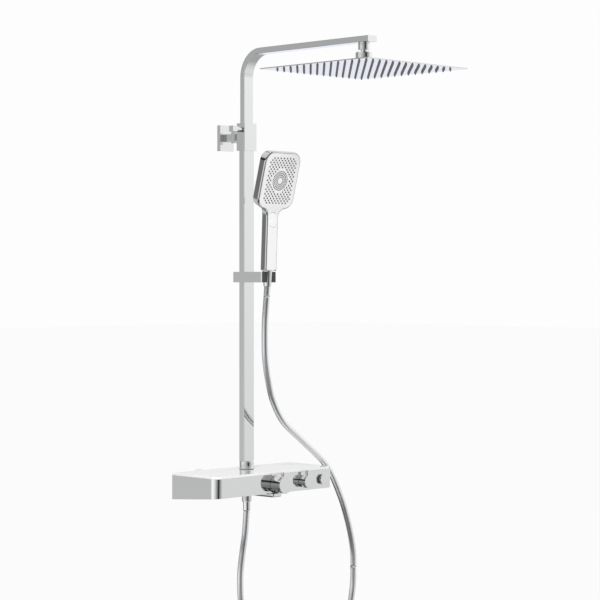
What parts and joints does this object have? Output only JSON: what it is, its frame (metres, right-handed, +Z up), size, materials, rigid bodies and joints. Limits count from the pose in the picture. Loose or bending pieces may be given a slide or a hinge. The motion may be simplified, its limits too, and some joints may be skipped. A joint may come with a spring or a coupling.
{
  "type": "shower column",
  "caption": "Wall-mounted shower column: shelf mixer with knobs, telescopic square riser, square rain head on a ball joint, hand shower on a sliding holder, hose and bath spout.",
  "frame": {"origin": "on the wall plane, midway between the two wall inlets", "axes": "+Z up along the riser, +Y into the wall, +X to the right for someone who faces the wall"},
  "size_m": [0.4805, 0.5812, 1.368],
  "materials": {
    "chrome_plate": "polished chrome plate",
    "plated_plastic": "chrome-plated plastic, mirror bright",
    "mirror_plate": "polished steel, mirror finish",
    "white_shelf": "glossy white slab",
    "white_face": "glossy white",
    "grey_frame": "matt grey",
    "brass_body": "cast and turned brass",
    "valve_plastic": "matt grey",
    "white_plastic": "smooth white",
    "silver_hose": "smooth silver PVC",
    "nozzle_silicone": "soft grey silicone",
    "black_plastic": "dark plastic",
    "spring_steel": "bright wire"
  },
  "bodies": {
    "mixer": {"mixer_casing": "plated_plastic", "shelf_slab": "white_shelf", "back_frame": "grey_frame", "valve_body": "brass_body", "temperature_cartridge": "valve_plastic", "diverter_cartridge": "valve_plastic", "button_valve": "valve_plastic", "wall_union_left": "brass_body", "wall_union_right": "brass_body", "rose_left": "chrome_plate", "rose_right": "chrome_plate", "union_nut_left": "chrome_plate", "union_nut_right": "chrome_plate", "bath_spout": "chrome_plate", "spout_aerator": "grey_frame", "riser_nut": "chrome_plate", "lower_riser": "chrome_plate", "locking_sleeve": "chrome_plate", "guide_bush": "white_plastic", "bracket_bar": "chrome_plate", "bar_collar": "chrome_plate", "wall_plate": "chrome_plate", "bracket_base": "grey_frame", "hose_outlet_nut": "chrome_plate", "hose_ferrule": "chrome_plate", "hose_lower": "silver_hose", "push_button_spring": "spring_steel"},
    "riser_arm": {"upper_riser": "chrome_plate", "riser_foot": "grey_frame", "arm_end_cap": "chrome_plate", "swivel_nut": "chrome_plate", "swivel_ball": "chrome_plate"},
    "clamp": {"locking_knob": "chrome_plate"},
    "swivel_ring": {"inner_ball_seat": "white_plastic"},
    "swivel_cradle": {"outer_ball_seat": "valve_plastic"},
    "rain_head": {"ball_collar": "chrome_plate", "head_boss": "chrome_plate", "rain_plate": "mirror_plate", "rain_nozzles": "nozzle_silicone"},
    "holder": {"holder_block": "plated_plastic", "holder_liner": "black_plastic", "holder_pad": "grey_frame", "hose_upper": "silver_hose"},
    "hand_shower": {"hand_shower_shell": "plated_plastic", "hand_shower_face": "white_face", "hand_shower_nozzles": "nozzle_silicone", "hand_shower_cone": "plated_plastic", "spray_button_spring": "spring_steel"},
    "spray_key": {"spray_button": "white_face"},
    "temperature_control": {"temperature_knob": "plated_plastic", "safety_pin_spring": "spring_steel"},
    "safety_key": {"safety_pin": "chrome_plate"},
    "diverter_control": {"diverter_knob": "plated_plastic"},
    "push_key": {"push_button": "plated_plastic"}
  },
  "joints": [
    {"name": "riser_height", "type": "slide", "parent": "mixer", "child": "riser_arm", "axis": [0, 0, 1], "range_m": [-0.04, 0.32]},
    {"name": "clamp_turn", "type": "hinge", "parent": "mixer", "child": "clamp", "pos_m": [-0.03, -0.074, 0.7614], "axis": [-1, 0, 0], "range_deg": [0, 270]},
    {"name": "head_turn", "type": "hinge", "parent": "riser_arm", "child": "swivel_ring", "pos_m": [0, -0.4192, 0.8895], "axis": [0, 0, 1], "range_deg": [-180, 180]},
    {"name": "head_tilt_front", "type": "hinge", "parent": "swivel_ring", "child": "swivel_cradle", "pos_m": [0, -0.4192, 0.8895], "axis": [1, 0, 0], "range_deg": [-9, 9]},
    {"name": "head_tilt_side", "type": "hinge", "parent": "swivel_cradle", "child": "rain_head", "pos_m": [0, -0.4192, 0.8895], "axis": [0, 1, 0], "range_deg": [-9, 9]},
    {"name": "holder_height", "type": "slide", "parent": "mixer", "child": "holder", "axis": [0, 0, 1], "range_m": [-0.33, 0.12], "deforming": ["hose_lower"]},
    {"name": "hand_shower_lift", "type": "slide", "parent": "holder", "child": "hand_shower", "axis": [0, 0, 1], "range_m": [0, 0.05], "deforming": ["hose_upper"]},
    {"name": "spray_button_press", "type": "slide", "parent": "hand_shower", "child": "spray_key", "axis": [0, 1, 0], "range_m": [0, 0.0015], "stiffness_N_per_m": 400, "springref_m": -0.001, "deforming": ["spray_button_spring"]},
    {"name": "temperature_turn", "type": "hinge", "parent": "mixer", "child": "temperature_control", "pos_m": [0.006, -0.17, 0.005], "axis": [0, 1, 0], "range_deg": [-120, 120]},
    {"name": "safety_press", "type": "slide", "parent": "temperature_control", "child": "safety_key", "axis": [0, 0, -1], "range_m": [0, 0.002], "stiffness_N_per_m": 400, "springref_m": -0.001, "deforming": ["safety_pin_spring"]},
    {"name": "diverter_turn", "type": "hinge", "parent": "mixer", "child": "diverter_control", "pos_m": [0.0865, -0.165, 0.005], "axis": [0, 1, 0], "range_deg": [-90, 90]},
    {"name": "push_button_press", "type": "slide", "parent": "mixer", "child": "push_key", "axis": [0, 1, 0], "range_m": [0, 0.003], "stiffness_N_per_m": 600, "springref_m": -0.0015, "deforming": ["push_button_spring"]}
  ]
}
